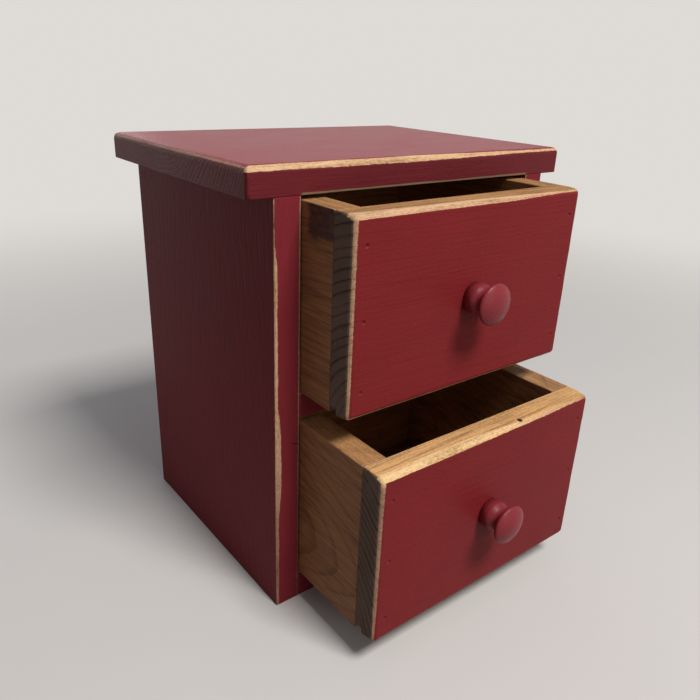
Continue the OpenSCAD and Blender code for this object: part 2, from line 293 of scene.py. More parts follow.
class Board:
    """Where a board lies and how its tree grew, in millimetres from its middle"""

    def __init__(self, recipe, node, along, through, pith, ring, seed, taper=0.0, bend=2.6):
        low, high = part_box(node)
        self.middle, self.half = (low + high) / 2 / MM, (high - low) / 2 / MM
        self.recipe = recipe
        self.seed = seed
        self.point = recipe.millimetres(self.middle)
        self.place = recipe.split(self.point)
        across = X + Y + Z - along - through
        self.ways = [self.place[axis] for axis in (along, across, through)]
        self.grain = recipe.join(self.ways)
        self.facing = recipe.split(recipe.add("ShaderNodeTexCoord", out="Normal"))
        self.end_face = abs(self.facing[along]).step(0.45, 0.8)
        self.grow(pith, ring, taper, bend)

    def cloud(self, sizes, seed, detail=2.0, rough=0.5, over=None):
        """Noise of this board, along its grain unless over says where else"""
        return self.recipe.cloud(over or self.grain, sizes, self.seed + seed, detail, rough)

    def grow(self, pith, ring, taper, bend):
        """Growth rings round a pith line, the dark latewood in them, and the fibres"""
        run, side, deep = self.ways
        side, deep = side - pith[0], deep - pith[1]
        wander = self.cloud((170, 34, 34), 1)
        radius = (side * side + deep * deep).root() + wander * bend + run * taper
        years = self.recipe.join((radius, run * 0.02, 0.0))
        uneven = self.cloud((2.3 * ring, 2.0, 1.0), 2, over=years) * 0.42
        ring_share = (radius / ring + uneven).fraction()
        strength = self.cloud((1.1 * ring, 3.0, 1.0), 6, 1.0, over=years) * 0.3 + 0.62
        line = ring_share.step(0.62, 0.95) * ring_share.step(1.0, 0.97)
        self.late = (line * strength).held()
        self.fibre = self.cloud((22, 0.75, 0.75), 3, 4.0, 0.68)
        self.streak = self.cloud((70, 2.6, 2.6), 4, 4.0, 0.68)
        self.blotch = self.cloud((48, 26, 26), 5)
        self.fleck = self.cloud((8, 1.2, 1.2), 7).step(0.8, 1.15)
        self.speck = self.cloud((2.6, 0.6, 0.6), 8).step(0.6, 1.0)

    def face(self, side):
        """Distance in from one face"""
        axis, sign = side
        here = self.place[axis]
        return self.half[axis] - here if sign > 0 else here + self.half[axis]

    def nearest(self, axis):
        """Distance in from the nearer of the two faces across an axis"""
        return self.half[axis] - abs(self.place[axis])

    def nearest_edge(self):
        """Distance from the nearest of all twelve edges"""
        x, y, z = (self.nearest(axis) for axis in (X, Y, Z))
        return x.low(y).high(x.high(y).low(z))

    def width(self, reach):
        """A band's width, given as a number or as a function of the board"""
        return (reach(self) if callable(reach) else reach) * finish().rub

    def rise(self, low, high):
        """A number that goes from low at the board's lower end to high at its upper end"""
        return self.face(UNDER) * ((high - low) / (2 * self.half[Z])) + low

    def away(self, spot):
        """Distance from a place of the whole chest"""
        ends = {0: self.point, 1: Vector(spot) - self.middle}
        return self.recipe.vector("DISTANCE", ends, out="Value")

    def edge_band(self, first, second, on_first, on_second):
        """Millimetres inside a band along the edge of two faces, as wide as is said on each"""
        on_first, on_second = self.width(on_first), self.width(on_second)
        share = (self.face(second) / on_first).high(self.face(first) / on_second)
        run = X + Y + Z - first[0] - second[0]
        return ((1 - share) * ((on_first + on_second) * 0.5)).low(self.nearest(run) * 2 - 0.5)

    def rubbed(self, edges, rest, chips=()):
        """1 where the paint is sanded off; edges lists two faces, how far the bare band
        reaches on each, and how much its border swings; chips lists places and radii"""
        wave = self.cloud((26, 26, 26), 11, 1.0, over=self.point)
        patch = self.cloud((90, 90, 90), 12, 1.0, over=self.point)
        nick = self.cloud((3.2, 1.9, 1.9), 13, 4.0, 0.72)
        reach = wave * 0.45 + patch * 0.55
        inside = (rest - 0.35) * finish().rub - self.nearest_edge() + reach * 0.45 + nick * 0.3
        for first, second, on_first, on_second, swing in edges:
            band = self.edge_band(first, second, on_first, on_second)
            inside = inside.high(band + reach * swing + nick * 0.4)
        for spot, radius in chips:
            inside = inside.high(radius - self.away(spot) + nick * 0.5)
        return inside.step(-0.25, 0.25)


def with_knots(board, wood, knots, border, ragged, colour):
    """Adds a coloured spot at every knot, whose outline the border makes ragged"""
    for spot, radius in knots:
        share = (board.away(spot) + border * ragged).step(radius, radius * 0.5)
        wood = board.recipe.mix(share, wood, colour)
    return wood


def bare_wood(board, knots=(), painted_top_light=(1, 1, 1)):
    """Colour of stained pine: earlywood, latewood, fibres, streaks, knots and end grain.
    Upward faces are lighter, partly from sanding and partly as painted light from above,
    and the extra tint for them paints more light still"""
    recipe, chest = board.recipe, finish()
    depth = (board.late * 0.42 + board.fibre * 0.36 + board.streak * 0.5
             + board.blotch * 0.26 + board.fleck * 0.4 + board.speck * 0.3 + 0.24)
    long_grain = recipe.mix(depth.held(), chest.stained, chest.stain_dark)
    dots = board.cloud((2.2, 1.1, 1.1), 24, 2.0, 0.7)
    worked = (board.fibre * 0.5 + board.streak * 0.6 + board.late * 0.4 + dots * 0.4
              + board.blotch * 0.2 + board.speck * 0.45 + 0.34)
    honey = tinted(tinted(chest.rubbed, (0.7, 0.555, 0.385)), painted_top_light)
    sanded_and_lit_top = recipe.mix(worked.held(), honey, dimmed(honey, 0.34))
    # Upward faces take the paler colour: partly sanding, partly painted light from above
    long_grain = recipe.mix(board.facing[Z].step(0.6, 0.95), long_grain, sanded_and_lit_top)
    scored = board.cloud((2.0, 9.0, 0.5), 9, 3.0, 0.6)
    worn = board.fibre * 0.42 + board.blotch * 0.25 + scored * 0.18 + 0.3
    end_light = recipe.mix(worn.held(), chest.end_grain, dimmed(chest.end_grain, 0.42))
    faded = (board.blotch * 0.5 + scored * 0.35 + 0.75).held()
    rings = (board.late * 1.5).held() * faded
    end_rings = recipe.mix(rings, end_light, dimmed(chest.end_grain, 0.18))
    wood = recipe.mix(board.end_face, long_grain, end_rings)
    dark = dimmed(chest.stain_dark, 0.5)
    return with_knots(board, wood, knots, board.fibre, 0.6, dark)


def rubbed_wood(board, tone, knots=()):
    """Colour of pine where the sandpaper went through the paint and the stain"""
    recipe, pale = board.recipe, finish().rubbed
    pitted = board.cloud((3.4, 0.8, 0.8), 21, 4.0, 0.75)
    patch = board.cloud((26, 26, 26), 22, 1.0, over=board.point)
    dots = board.cloud((2.2, 1.1, 1.1), 23, 2.0, 0.7)
    depth = (board.late * 0.42 + pitted * 0.7 + board.streak * 0.5 + board.speck * 0.5
             + patch * 0.2 + dots * 0.4 + 0.18)
    wood = recipe.mix(depth.held(), pale, tinted(pale, (0.4, 0.33, 0.27)))
    wood = with_knots(board, wood, knots, pitted, 0.8, dimmed(pale, 0.16))
    shades = recipe.join((tone, tone * (tone * 0.3 + 0.69), tone * (1.16 - tone * 0.22)))
    return recipe.vector("MULTIPLY", {0: wood, 1: shades})


def edge_tone(board):
    """Rubbed wood is palest along the upper edges and duller down the sides, which is partly
    painted light from above
    """
    return board.face(UPPER).step(7.0, 4.0) * 0.24 + 0.76


def painted(board, paint):
    """Colour, height and roughness of brushed paint, through which the grain shows"""
    brush = board.cloud((42, 2.1, 2.1), 31, 3.0, 0.58)
    peel = board.cloud((3.2, 1.7, 1.7), 32)
    tone = 1.0 + board.blotch * 0.07 + brush * 0.05 - board.late * 0.05 + peel * 0.05
    rings = board.late * (board.end_face * (board.blotch * 0.5 + 0.45) + 0.45)
    height = brush * 0.42 + peel * 0.3 - rings + board.fibre * 0.1
    rough = 0.43 + brush * 0.035 + board.blotch * 0.03 + peel * 0.02
    return board.recipe.scale_colour(paint, tone), height, rough


def paint_recipe(name, board_facts, coat, edges, rest=0.0, specular=0.06, paint=None,
                 tone=edge_tone, painted_light_and_shade=None, lip=None, chips=(), knots=(), crack=None,
                 painted_top_light=(1, 1, 1)):
    """Material of a painted board. coat(board) says where paint was brushed on and tone(board)
    how pale the rubbed wood is; the painted light and shade of the board scale the coat's
    colour; lip(board) says where wear has left a brown line and crack(board) where the
    board has split"""
    recipe = Recipe(name, specular)
    board = Board(recipe, **board_facts)
    colour, height, rough = painted(board, paint or finish().case_paint)
    # The painted light and shade of the board scale the coat's colour
    if painted_light_and_shade:
        colour = recipe.scale_colour(colour, painted_light_and_shade(board))
    covered = coat(board)
    worn = board.rubbed(edges, rest, chips)
    under = recipe.mix(covered, bare_wood(board, knots, painted_top_light), colour)
    finished = recipe.mix(worn, under, rubbed_wood(board, tone(board), knots))
    if lip:
        finished = recipe.mix(lip(board), finished, dimmed(finish().rubbed, 0.3))
    bare = worn.high(1 - covered).held()
    wood_height = board.fibre * 0.5 - board.late * 0.3 - board.speck * 0.5
    relief = height * (1 - bare) + wood_height * bare - worn * 0.8
    if crack:
        split = crack(board)
        # The split is painted darker, partly as painted shade in its groove
        finished = recipe.scale_colour(finished, 1 - split * 0.6)
        relief = relief - split * 2.5
    rough = rough * (1 - bare) + (0.62 + board.fibre * 0.05) * bare
    recipe.surface(finished, rough, relief, depth=0.16 * MM)
    return recipe.material


def bare_recipe(name, board_facts, smear=False):
    """Material of a bare stained board, lighter along its sanded edges"""
    recipe = Recipe(name, specular=0.2)
    board = Board(recipe, **board_facts)
    worn = board.rubbed((), rest=0.5)
    colour = recipe.mix(worn * 0.75, bare_wood(board), rubbed_wood(board, 0.5))
    if smear:
        colour = smeared(board, colour)
    rough = 0.58 + board.fibre * 0.06 + board.late * 0.06
    relief = (board.fibre * 0.6 - board.late * 0.35 - board.fleck * 0.7
              - board.speck * 0.6 - worn * 0.5)
    recipe.surface(colour, rough, relief, depth=0.18 * MM)
    return recipe.material


def smeared(board, colour):
    """Dark stain spilt near the upper front corner of a drawer's side"""
    ragged = board.cloud((9, 8, 8), 41, 4.0, 0.65)
    down = board.face(UPPER) + ragged * 4.0
    back = board.face(FRONT) + ragged * 3.0
    spilt = down.step(23, 17) * back.step(29, 23) * abs(board.facing[X]).step(0.5, 0.9)
    thin = board.cloud((16, 5, 5), 42, 3.0, 0.6) * 0.3 + 0.85
    return board.recipe.mix((spilt * thin).held(), colour, linear(46, 27, 28))


def brushed_strip(board):
    """1 within a ragged strip behind the front edges of the case"""
    depth, blur = 13, 0.8
    ragged = board.cloud((9, 9, 9), 51, 3.0, 0.6, over=board.point)
    return (board.face(FRONT) + ragged * 2.5).step(depth + blur, depth - blur)


def unit(axis):
    """A vector of length 1 along an axis"""
    return Vector([1 if axis == here else 0 for here in (X, Y, Z)])


def notched_board(whole, cut, notch, along, start, end):
    """A board with a rebate, drawn out along an axis from start to end. Across that axis,
    whole and cut are opposite corners, and the rebate at cut reaches in to notch"""
    outline = (
        whole, (cut[0], whole[1]), (cut[0], notch[1]),
        notch, (notch[0], cut[1]), (whole[0], cut[1]),
    )
    first, second = (axis for axis in (X, Y, Z) if axis != along)
    bm = bmesh.new()
    corners = [
        bm.verts.new(unit(first) * here + unit(second) * there + unit(along) * start)
        for here, there in outline
    ]
    face = bm.faces.new(corners)
    drawn = bmesh.ops.extrude_face_region(bm, geom=[face])["geom"]
    moved = [part for part in drawn if isinstance(part, bmesh.types.BMVert)]
    bmesh.ops.translate(bm, vec=unit(along) * (end - start), verts=moved)
    bmesh.ops.recalc_face_normals(bm, faces=bm.faces)
    return bm


def box_mesh(low, high):
    """A plain board between two corners"""
    bm = bmesh.new()
    bmesh.ops.create_cube(bm, size=1)
    bmesh.ops.scale(bm, vec=high - low, verts=bm.verts)
    bmesh.ops.translate(bm, vec=(low + high) / 2, verts=bm.verts)
    return bm


def turned_mesh(points, axis, steps, merge):
    """What a line of points sweeps when it turns once round an axis through the first one"""
    bm = bmesh.new()
    verts = [bm.verts.new(point) for point in points]
    edges = [bm.edges.new(pair) for pair in zip(verts, verts[1:])]
    bmesh.ops.spin(
        bm, geom=verts + edges, cent=points[0], axis=unit(axis), dvec=(0, 0, 0),
        angle=math.tau, steps=steps, use_merge=True, use_duplicate=False,
    )
    bmesh.ops.remove_doubles(bm, verts=bm.verts, dist=merge)
    bmesh.ops.recalc_face_normals(bm, faces=bm.faces)
    return bm


def round_over(bm, edges, radius, segments=2):
    bmesh.ops.bevel(
        bm, geom=edges, offset=radius, offset_type="OFFSET", segments=segments,
        profile=0.5, affect="EDGES", clamp_overlap=True, material=-1,
    )


def face_edges(bm, axis, level):
    """The edges that lie around the face at that level of the axis"""
    return [
        edge for edge in bm.edges
        if all(abs(vert.co[axis] - level) < 0.01 * MM for vert in edge.verts)
    ]


def sharp_edges(bm, least=30):
    """The edges at which the surface turns by at least so many degrees"""
    return [
        edge for edge in bm.edges
        if len(edge.link_faces) == 2 and edge.calc_face_angle(0) > math.radians(least)
    ]


def along_axis(edges, axis):
    """Those of the edges that run along an axis"""
    runs = ((edge, edge.verts[1].co - edge.verts[0].co) for edge in edges)
    return [edge for edge, run in runs if abs(run[axis]) > 0.9 * run.length]


def slice_up(bm, axis, levels):
    """Cuts the mesh across at each level, so that its surface can be worked locally"""
    for level in sorted(set(levels)):
        bmesh.ops.bisect_plane(
            bm, geom=bm.verts[:] + bm.edges[:] + bm.faces[:], dist=0.01 * MM,
            plane_co=unit(axis) * level, plane_no=unit(axis),
        )


def even_levels(low, high, gap):
    count = max(1, round((high - low) / gap))
    return [low + (high - low) * index / count for index in range(1, count)]


def fine_rows(places, axis, gap, count):
    """Levels close together to both sides of every place, for the dents there"""
    rows = {round(place[axis], 6) for place in places}
    return [row + gap * step for row in rows for step in range(-count, count + 1)]


def corner_levels(low, high, reach, radius):
    """Levels close to both ends, for a corner that is rounded by hand. They meet the rings
    of the rounded edge there, because a cut just beside a ring would leave slivers"""
    gaps = [radius * (1 - math.cos(math.pi / 2 * ring / ROUND_STEPS))
            for ring in range(2, ROUND_STEPS + 1)] + [reach]
    return [low + gap for gap in gaps] + [high - gap for gap in gaps]


def hand_sand(bm, low, high, amount):
    """Lets the rounded edges waver, always inwards, as hand sanding leaves them"""
    bm.normal_update()
    near, broad, fine = 0.02 * MM, 60, 240
    for vert in bm.verts:
        if min(*(vert.co - low), *(high - vert.co)) >= near:
            wave = 0.5 * noise.noise(vert.co * broad) + 0.3 * noise.noise(vert.co * fine)
            vert.co -= vert.normal * amount * max(0, 0.5 + wave)


def soften_corners(bm, low, high, along, radius):
    """Rounds the four edges that run along an axis; radius(distance from low) may vary"""
    axes = [axis for axis in (X, Y, Z) if axis != along]
    middle, half = (low + high) / 2, (high - low) / 2
    for vert in bm.verts:
        reach = radius(vert.co[along] - low[along])
        off = vert.co - middle
        past = [abs(off[axis]) - half[axis] + reach for axis in axes]
        if min(past) > 0:
            pull = max(past) / math.hypot(*past)
            for axis, out in zip(axes, past):
                off[axis] = math.copysign(half[axis] - reach + out * pull, off[axis])
            vert.co = middle + off


def dent(bm, centre, axis, radius, depth, floor):
    """Presses a round dent into the face that looks along the axis at its centre. Its
    middle is flat out to the floor, a share of the radius"""
    inward = -1 if centre[axis] > 0 else 1
    for vert in bm.verts:
        if abs(vert.co[axis] - centre[axis]) < 0.02 * MM:
            away = (vert.co - centre).length / radius
            if away < 1:
                rise = max(0, away - floor) / (1 - floor)
                vert.co[axis] += inward * depth * (1 - rise * rise) ** 1.5


def new_object(name, data):
    """An object in the scene for a mesh, a lamp or a camera"""
    holder = bpy.data.objects.new(name, data)
    bpy.context.scene.collection.objects.link(holder)
    return holder


def mesh_object(name, bm, material):
    mesh = bpy.data.meshes.new(name)
    bm.to_mesh(mesh)
    bm.free()
    mesh.materials.append(material)
    return new_object(name, mesh)


def seat(name, bm, material, body, slot, *nodes):
    """Makes the object, smooth only where it is rounded, and ties it to its body"""
    bm.normal_update()
    flat = 0.99999
    for face in bm.faces:
        face.smooth = max(abs(part) for part in face.normal) < flat
    piece = mesh_object(name, bm, material)
    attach(piece, body)
    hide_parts(*nodes)


def dress(node, material):
    """Gives a solid that keeps its own shape a better finish"""
    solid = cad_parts[node]
    solid.data.materials.clear()
    solid.data.materials.append(material)


def faces_across(low, high, sign):
    """Where a side board's inner face and its outer one lie on X"""
    return (low.x, high.x) if sign > 0 else (high.x, low.x)


def case_side_mesh(low, high, sign):
    """A side of the case, with the rebate that holds the back panel"""
    chest = sizes()
    inner, outer = faces_across(low, high, sign)
    notch = (inner + sign * chest.back_seat, high.y - chest.back_deep)
    bm = notched_board((outer, low.y), (inner, high.y), notch, Z, low.z, high.z)
    round_over(bm, along_axis(face_edges(bm, X, outer), Z), chest.eased, segments=3)
    round_over(bm, sharp_edges(bm, least=50), chest.eased * 0.35)
    slice_up(bm, Z, even_levels(low.z, high.z, gap=12 * MM))
    hand_sand(bm, low, high, amount=0.3 * MM)
    return bm


def case_side_paint(side, sign):
    def coat(board):
        return board.face((X, -sign)).step(0.4, 1.2).high(brushed_strip(board))

    def handled(board):
        """1 at the height where hands have rubbed the front edge most"""
        hand_height = 122
        return (abs(board.face(UNDER) - hand_height) + board.blotch * 7).step(48, 14)

    def outer_reach(board):
        """The outer band is widest where the hands were, and narrow below the top"""
        below_top = board.face(UPPER).step(42, 26)
        return board.rise(2.4, 1.7) + handled(board) * 2.6 - below_top * 1.3

    def tone(board):
        """The rubbed wood is duller low down and towards the opening"""
        inner = board.face((X, -sign)).step(6, 4)
        high = board.face(UNDER).step(70, 190)
        return (0.56 + high * 0.36 + handled(board) * 0.12) * (1 - inner * 0.5)

    def painted_light_and_shade(board):
        """Painted shade: the outer face is painted darker high up, under the top's overhang"""
        outer = board.face((X, sign)).step(1.0, 0.3)
        return 1 - outer * board.face(UPPER).step(190, 20) * 0.22

    def crack(board):
        """A short slanting split in the front edge"""
        height, slant = 133.5, 0.3
        from_line = abs(board.face(UNDER) - board.face(RIGHT) * slant - height)
        inward = board.face(RIGHT).step(7.5, 5.0) * board.face(FRONT).step(2, 1)
        return from_line.step(0.55, 0.2) * inward

    edges = [
        (FRONT, (X, sign), outer_reach, 0.8, 0.6),
        (FRONT, (X, -sign), 0.85 - sign * 0.4, 0.8 - sign * 0.3, 0.35),
        (UNDER, (X, sign), 0.3, 0.4, 0.6),
    ]
    chips = [((-104.0, -103.0, 172.0), 1.7), ((-104.0, -103.0, 19.0), 2.0)]
    facts = dict(node=f"case_side_{side}", along=Z, through=X, pith=(-18.0, -sign * 70.0),
                 ring=5.0, seed=3 + sign, taper=0.09)
    return paint_recipe(f"paint case {side}", facts, coat, edges,
                        specular=0.04, tone=tone, painted_light_and_shade=painted_light_and_shade, chips=chips,
                        crack=crack if side == "left" else None)


def finish_case_sides():
    for side, sign in SIDES:
        node = f"case_side_{side}"
        bm = case_side_mesh(*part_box(node), sign)
        seat(f"case_{side}_board", bm, case_side_paint(side, sign), "case", "painted_pine",
             node)


def top_mesh(low, high):
    """The top board, with its upper edges rounded over"""
    chest = sizes()
    bm = box_mesh(low, high)
    round_over(bm, face_edges(bm, Z, high.z), chest.top_round, ROUND_STEPS)
    round_over(bm, face_edges(bm, Z, low.z), chest.eased * 0.5)
    end = 4 * MM
    for axis, gap in ((X, 10 * MM), (Y, 14 * MM)):
        levels = even_levels(low[axis] + end, high[axis] - end, gap)
        levels += corner_levels(low[axis], high[axis], chest.corner, chest.top_round)
        slice_up(bm, axis, levels)
    slice_up(bm, Z, even_levels(low.z, high.z, gap=4 * MM))
    soften_corners(bm, low, high, Z, lambda rise: chest.corner)
    hand_sand(bm, low, high, amount=0.4 * MM)
    return bm


def top_paint(node):
    bay_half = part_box("case_side_right")[0].x / MM

    def coat(board):
        """Bare on the underside, inside the case and behind the strip"""
        under = board.face(UNDER).step(1.0, 0.4)
        inside = abs(board.place[X]).step(bay_half + 0.5, bay_half - 0.5)
        return 1 - under * inside * (1 - brushed_strip(board))

    def tone(board):
        """Duller along the left end, which is painted shade on the end that the lamps light
        least
        """
        left = board.face(LEFT).step(5, 3) * board.face(FRONT).step(2, 5)
        return edge_tone(board) - left * 0.38

    def painted_light_and_shade(board):
        """Painted light makes the upper face brighter, as if lit from above; the coat is
        darker on the front edge and darkest on the end grain
        """
        above = board.face(UPPER).step(1.5, 0.5) * 0.22 + 1
        front = 1 - board.face(FRONT).step(3, 0.5) * 0.36
        return above * front * (1 - board.end_face * 0.42)

    def lip(board):
        """The worn line over the upper opening"""
        rub = board.edge_band(UNDER, FRONT, 1.1, 1.5) + board.blotch * 0.3
        return abs(board.place[X]).step(bay_half + 1, bay_half - 2) * rub.step(-0.3, 0.3)

    def narrowing(reach):
        """The front band gets narrower towards the right end"""
        return lambda board: reach - board.face(LEFT).step(110, 250) * 1.5

    edges = [
        (UPPER, FRONT, narrowing(3.6), narrowing(3.7), 0.5),
        (UPPER, LEFT, lambda board: board.face(FRONT).step(120, 20) * 0.8 + 1.7, 2.1, 1.1),
        (UPPER, RIGHT, 3.0, 2.6, 0.8),
        (UPPER, REAR, 2.0, 1.8, 1.2),
        (FRONT, LEFT, 0.5, 0.6, 0.5),
        (FRONT, RIGHT, 0.5, 0.6, 0.7),
    ]
    facts = dict(node=node, along=X, through=Z, pith=(15.0, 52.0), ring=3.6, seed=9,
                 taper=0.03)
    return paint_recipe("paint top", facts, coat, edges, rest=-0.2,
                        specular=0.11, tone=tone, painted_light_and_shade=painted_light_and_shade, lip=lip)


def finish_case_top():
    node = "case_top"
    seat("top_board", top_mesh(*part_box(node)), top_paint(node), "case", "painted_pine", node)


def cross_board(node, radius, run=None):
    """A plain board with its edges eased, or only those that run along one axis"""
    low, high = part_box(node)
    bm = box_mesh(low, high)
    edges = sharp_edges(bm)
    round_over(bm, edges if run is None else along_axis(edges, run), radius)
    slice_up(bm, X, even_levels(low.x, high.x, gap=14 * MM))
    hand_sand(bm, low, high, amount=0.2 * MM)
    return bm


def finish_shelves():
    def tone(board):
        return board.face(UPPER).step(6, 4) * 0.25 + 0.35

    edges = [(FRONT, UPPER, 0.7, 0.9, 0.45), (FRONT, UNDER, 0.6, 0.8, 0.5)]
    for shelf, seed in (("divider", 13), ("bottom", 17)):
        node, name = f"case_{shelf}", f"{shelf}_board"
        facts = dict(node=node, along=X, through=Z, pith=(8.0, -44.0), ring=3.8, seed=seed)
        material = paint_recipe(f"paint {name}", facts, brushed_strip, edges, rest=-0.3,
                                tone=tone)
        bm = cross_board(node, sizes().eased * 0.6, run=X)
        seat(name, bm, material, "case", "painted_pine", node)


def finish_case_back():
    def coat(board):
        """Bare on the inner face"""
        return board.face(FRONT).step(1.0, 2.0)

    node = "case_back"
    facts = dict(node=node, along=Z, through=Y, pith=(20.0, 200.0), ring=7.0, seed=21,
                 taper=0.2)
    dress(node, paint_recipe("paint back", facts, coat, (), rest=0.1))


def brad_places(drawer, board):
    """Middles of the brad heads at both ends of a drawer's front or back"""
    low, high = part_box(f"{drawer}_{board}")
    side_low, side_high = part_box(f"{drawer}_side_right")
    if board == "front":
        out, y = (side_low.x + side_high.x) / 2, low.y
    else:
        out, y = side_high.x, (low.y + high.y) / 2
    inset = 18 * MM
    rows = (low.z + inset, (low.z + high.z) / 2, high.z - inset)
    return [Vector((sign * out, y, z)) for sign in (-1, 1) for z in rows]


def front_mesh(drawer):
    """A drawer front with a rebate, rounded outer edges and dents over its brads"""
    chest = sizes()
    low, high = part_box(f"{drawer}_front")
    notch = (high.y - chest.rebate_deep, low.z + chest.rebate_tall)
    bm = notched_board((low.y, high.z), (high.y, low.z), notch, X, low.x, high.x)
    round_over(bm, face_edges(bm, Y, low.y), chest.front_round, ROUND_STEPS)
    edges = sharp_edges(bm)
    behind = [edge for edge in edges if edge not in along_axis(edges, Y)
              and min(vert.co.y for vert in edge.verts) > low.y + chest.front_round]
    round_over(bm, behind, chest.box_eased)
    brads = brad_places(drawer, "front")
    end = 5 * MM
    for axis in (X, Z):
        levels = even_levels(low[axis] + end, high[axis] - end, gap=10 * MM)
        levels += fine_rows(brads, axis, gap=0.24 * MM, count=7)
        levels += corner_levels(low[axis], high[axis], chest.front_corner, chest.front_round)
        slice_up(bm, axis, levels)
    gap, fade = 1.6 * MM, 11 * MM
    slice_up(bm, Y, [low.y + chest.front_round + gap * step for step in range(1, 6)])

    def corner(deep):
        """The corners are round in front and get sharp towards the back"""
        return chest.front_corner + min(1, deep / fade) * (chest.eased - chest.front_corner)

    soften_corners(bm, low, high, Y, corner)
    hand_sand(bm, low, high, amount=0.4 * MM)
    for centre in brads:
        dent(bm, centre, Y, chest.dimple, depth=0.95 * MM, floor=0.1)
    return bm


def front_paint(drawer, seed):
    def coat(board):
        """Paint on the outer face, which runs over onto its rounded edges"""
        side = board.nearest(X).low(board.nearest(Z))
        return (side - board.face(FRONT)).step(-0.3, 0.3)

    def top_reach(board):
        """The upper edge is sanded furthest back at its left half"""
        right = board.face(RIGHT).step(80, 10)
        return board.face(LEFT).step(150, 40) * 3.5 + 3.0 - right * 1.4 + board.blotch * 1.5

    edges = [
        (FRONT, UPPER, lambda board: 3.0 - board.face(RIGHT).step(80, 10) * 1.2,
         top_reach, 0.5),
        (FRONT, UNDER, 2.2, 2.3, 0.5),
        (FRONT, LEFT, lambda board: board.rise(1.7, 2.9), 2.0, 0.4),
        (FRONT, RIGHT, 1.4, 1.4, 0.5),
    ]
    # The lower drawer's paler upper edge and extra top tint are partly a painted highlight
    pith, ring, above, around, painted_top_light = {
        "upper": ((-80.0, -42.0), 6.2, 0.92, 0.8, (1, 1, 1)),
        "lower": ((-130.0, 150.0), 4.8, 1.2, 0.66, (1.5, 1.66, 1.72)),
    }[drawer]

    def tone(board):
        """The upper edge is palest, most of all at the lower drawer's left, partly from
        sanding and partly as a painted highlight
        """
        left = board.face(RIGHT).step(40, 120) * 0.4 + 0.6
        return board.face(UPPER).step(7, 4) * left * (above - around) + around

    facts = dict(node=f"{drawer}_front", along=X, through=Y, pith=pith, ring=ring, seed=seed,
                 taper=0.02, bend=1.2)
    knots = [((26.0, -186.5, 150.3), 2.6)] if drawer == "lower" else []
    return paint_recipe(f"paint {drawer} front", facts, coat, edges, rest=0.1,
                        paint=finish().paint, tone=tone, knots=knots, painted_top_light=painted_top_light)


def finish_drawer_fronts():
    for drawer, seed in zip(DRAWERS, (31, 43)):
        seat(f"{drawer}_front_board", front_mesh(drawer), front_paint(drawer, seed),
             f"{drawer}_drawer", "painted_pine", f"{drawer}_front")


def drawer_side_mesh(drawer, side, sign):
    """A side of a drawer with the bottom's rebate and dents over the rear brads"""
    chest = sizes()
    low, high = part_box(f"{drawer}_side_{side}")
    inner, outer = faces_across(low, high, sign)
    notch = (inner + sign * chest.rebate_deep, low.z + chest.rebate_tall)
    bm = notched_board((outer, high.z), (inner, low.z), notch, Y, low.y, high.y)
    round_over(bm, sharp_edges(bm), chest.box_eased)
    pits = [place for place in brad_places(drawer, "back") if place.x * sign > 0]
    for axis in (Y, Z):
        levels = even_levels(low[axis], high[axis], gap=14 * MM)
        slice_up(bm, axis, levels + fine_rows(pits, axis, gap=0.3 * MM, count=5))
    hand_sand(bm, low, high, amount=0.2 * MM)
    for place in pits:
        dent(bm, place, X, radius=1.4 * MM, depth=1.15 * MM, floor=0.75)
    return bm


def finish_drawer_sides():
    for drawer, offset in zip(DRAWERS, (0, 7)):
        for side, sign in SIDES:
            node = f"{drawer}_side_{side}"
            pith, ring, taper = {
                "upper": ((-95.0, sign * 24.0), 4.6, 0.05),
                "lower": ((-22.0, -sign * 26.0), 8.0, -0.3),
            }[drawer]
            facts = dict(node=node, along=Y, through=X, pith=pith, ring=ring, taper=taper,
                         seed=61 + offset + sign)
            material = bare_recipe(f"stained {drawer} {side}", facts,
                                   smear=(drawer == "upper" and side == "left"))
            seat(f"{drawer}_{side}_board", drawer_side_mesh(drawer, side, sign), material,
                 f"{drawer}_drawer", "bare_pine", node)


def finish_drawer_backs():
    for drawer, seed in zip(DRAWERS, (83, 89)):
        node = f"{drawer}_back"
        facts = dict(node=node, along=X, through=Y, pith=(-22.0, 36.0), ring=4.4, seed=seed)
        material = bare_recipe(f"stained {drawer} back", facts)
        seat(f"{drawer}_back_board", cross_board(node, sizes().box_eased), material,
             f"{drawer}_drawer", "bare_pine", node)


def finish_drawer_bottoms():
    """Plywood, whose layers show along its edges"""
    ply, layer_thick = finish().ply, 1.67
    for drawer, seed in zip(DRAWERS, (97, 101)):
        node = f"{drawer}_bottom"
        recipe = Recipe(f"plywood {drawer}", specular=0.3)
        board = Board(recipe, node=node, along=Y, through=Z, pith=(30.0, 260.0), ring=9.0,
                      seed=seed, taper=0.3)
        depth = (board.late * 0.4 + board.fibre * 0.12 + board.streak * 0.2 + 0.2).held()
        face = recipe.mix(depth, ply, dimmed(ply, 0.6))
        layer = (board.face(UPPER) / layer_thick).fraction().step(0.42, 0.58)
        plies = recipe.mix(layer, dimmed(ply, 0.45), ply)
        on_rim = board.nearest(X).low(board.nearest(Y)).step(0.4, 0.1)
        recipe.surface(recipe.mix(on_rim, face, plies), 0.6 + board.fibre * 0.06,
                       board.fibre * 0.5 - board.late * 0.3, depth=0.12 * MM)
        dress(node, recipe.material)


def arc(centre, radius, start, end, steps=8):
    turns = (start + (end - start) * index / steps for index in range(steps + 1))
    return [
        (centre[0] + radius * math.cos(turn), centre[1] + radius * math.sin(turn))
        for turn in turns
    ]


def towards(start, end):
    """The angle at which one point is seen from another"""
    return math.atan2(end[1] - start[1], end[0] - start[0])


